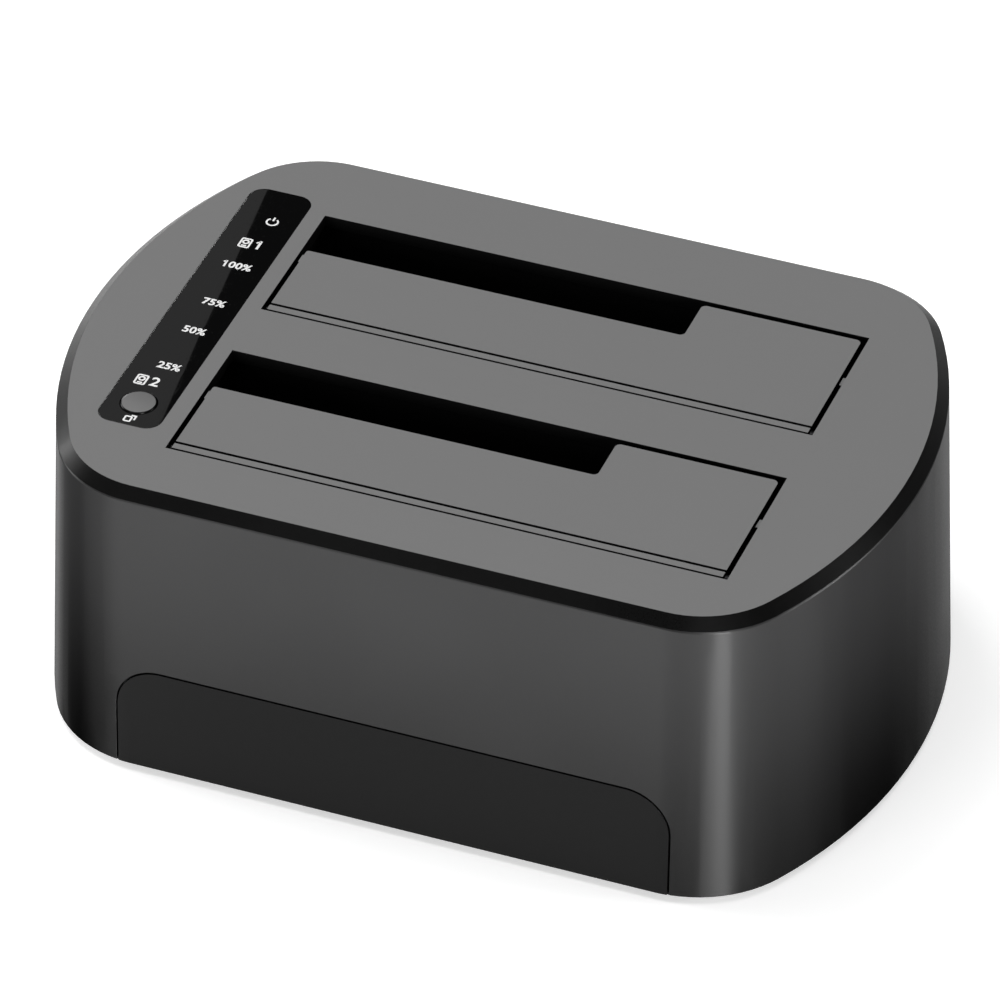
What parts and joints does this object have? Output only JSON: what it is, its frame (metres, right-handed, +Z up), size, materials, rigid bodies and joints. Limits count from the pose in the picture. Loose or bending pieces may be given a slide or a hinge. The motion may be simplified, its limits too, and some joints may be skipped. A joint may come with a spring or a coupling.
{
  "type": "dual bay drive dock with offline copy",
  "caption": "Desktop drive dock with round-cornered housing, side-by-side bays under hinged notched flaps, a glossy control strip with a copy button, and rear ports.",
  "frame": {"origin": "middle of the housing, on the plane that the rubber feet stand on", "axes": "+X along the housing to the right as seen from the front, -Y to the front, +Z up"},
  "size_m": [0.1598, 0.1116, 0.061],
  "materials": {
    "cover_grey": "fine matte grey moulding",
    "shell_black": "satin black moulding",
    "insert_black": "fine matte black moulding",
    "base_black": "fine spark texture",
    "foot_rubber": "matte rubber",
    "screw_steel": "zinc plated",
    "well_black": "fine matte",
    "rod_steel": "drawn rod",
    "spring_steel": "spring wire",
    "connector_black": "glass filled",
    "contact_gold": "gold plated",
    "panel_gloss": "polished smoked strip",
    "button_grey": "fine matte",
    "baffle_white": "opaque white",
    "lamp_clear": "clear resin",
    "board_green": "solder mask",
    "socket_ivory": "nylon",
    "cable_grey": "vinyl ribbon",
    "chip_black": "moulded epoxy",
    "can_steel": "tin plated",
    "can_aluminium": "drawn can",
    "usb_core_blue": "moulded core",
    "switch_black": "fine matte",
    "rocker_black": "smooth"
  },
  "bodies": {
    "dock": {"base_plate": "base_black", "board_cable_socket": "socket_ivory", "board_capacitors": "can_aluminium", "board_chips": "chip_black", "board_crystals": "can_steel", "board_inductors": "chip_black", "board_screws": "screw_steel", "body_shell": "shell_black", "front_bay_well": "well_black", "front_flap_spring": "spring_steel", "front_hinge_rod": "rod_steel", "front_insert": "insert_black", "front_sata_contacts": "contact_gold", "front_sata_socket": "connector_black", "housing_screws": "screw_steel", "jack_body": "connector_black", "jack_pin": "contact_gold", "light_baffle": "baffle_white", "main_board": "board_green", "panel_board": "board_green", "panel_board_screws": "screw_steel", "panel_cable": "cable_grey", "panel_cable_socket": "socket_ivory", "panel_lamps": "lamp_clear", "panel_window": "panel_gloss", "rear_bay_well": "well_black", "rear_flap_spring": "spring_steel", "rear_hinge_rod": "rod_steel", "rear_sata_contacts": "contact_gold", "rear_sata_socket": "connector_black", "rubber_feet": "foot_rubber", "switch_body": "switch_black", "switch_pins": "contact_gold", "tact_switch": "connector_black", "top_cover": "cover_grey", "usb_core": "usb_core_blue", "usb_shell": "can_steel", "well_screws": "screw_steel"},
    "rear_door": {"rear_flap": "cover_grey"},
    "front_door": {"front_flap": "cover_grey"},
    "clone_key": {"clone_button": "button_grey", "tact_plunger": "connector_black"},
    "power_key": {"power_rocker": "rocker_black"}
  },
  "joints": [
    {"name": "rear_flap_hinge", "type": "hinge", "parent": "dock", "child": "rear_door", "pos_m": [0.004, 0.00645, 0.0588], "axis": [-1, 0, 0], "range_deg": [0, 88], "stiffness_Nm_per_rad": 0.008, "springref_deg": -20.05, "deforming": ["rear_flap_spring"]},
    {"name": "front_flap_hinge", "type": "hinge", "parent": "dock", "child": "front_door", "pos_m": [0.004, -0.03735, 0.0588], "axis": [-1, 0, 0], "range_deg": [0, 88], "stiffness_Nm_per_rad": 0.008, "springref_deg": -20.05, "deforming": ["front_flap_spring"]},
    {"name": "clone_button_press", "type": "slide", "parent": "dock", "child": "clone_key", "axis": [0, 0, -1], "range_m": [0, 0.0005], "stiffness_N_per_m": 600, "springref_m": -0.0003},
    {"name": "power_rocker_tip", "type": "hinge", "parent": "dock", "child": "power_key", "pos_m": [0.026, 0.05188, 0.0147], "axis": [0, 0, -1], "range_deg": [0, 22]}
  ]
}
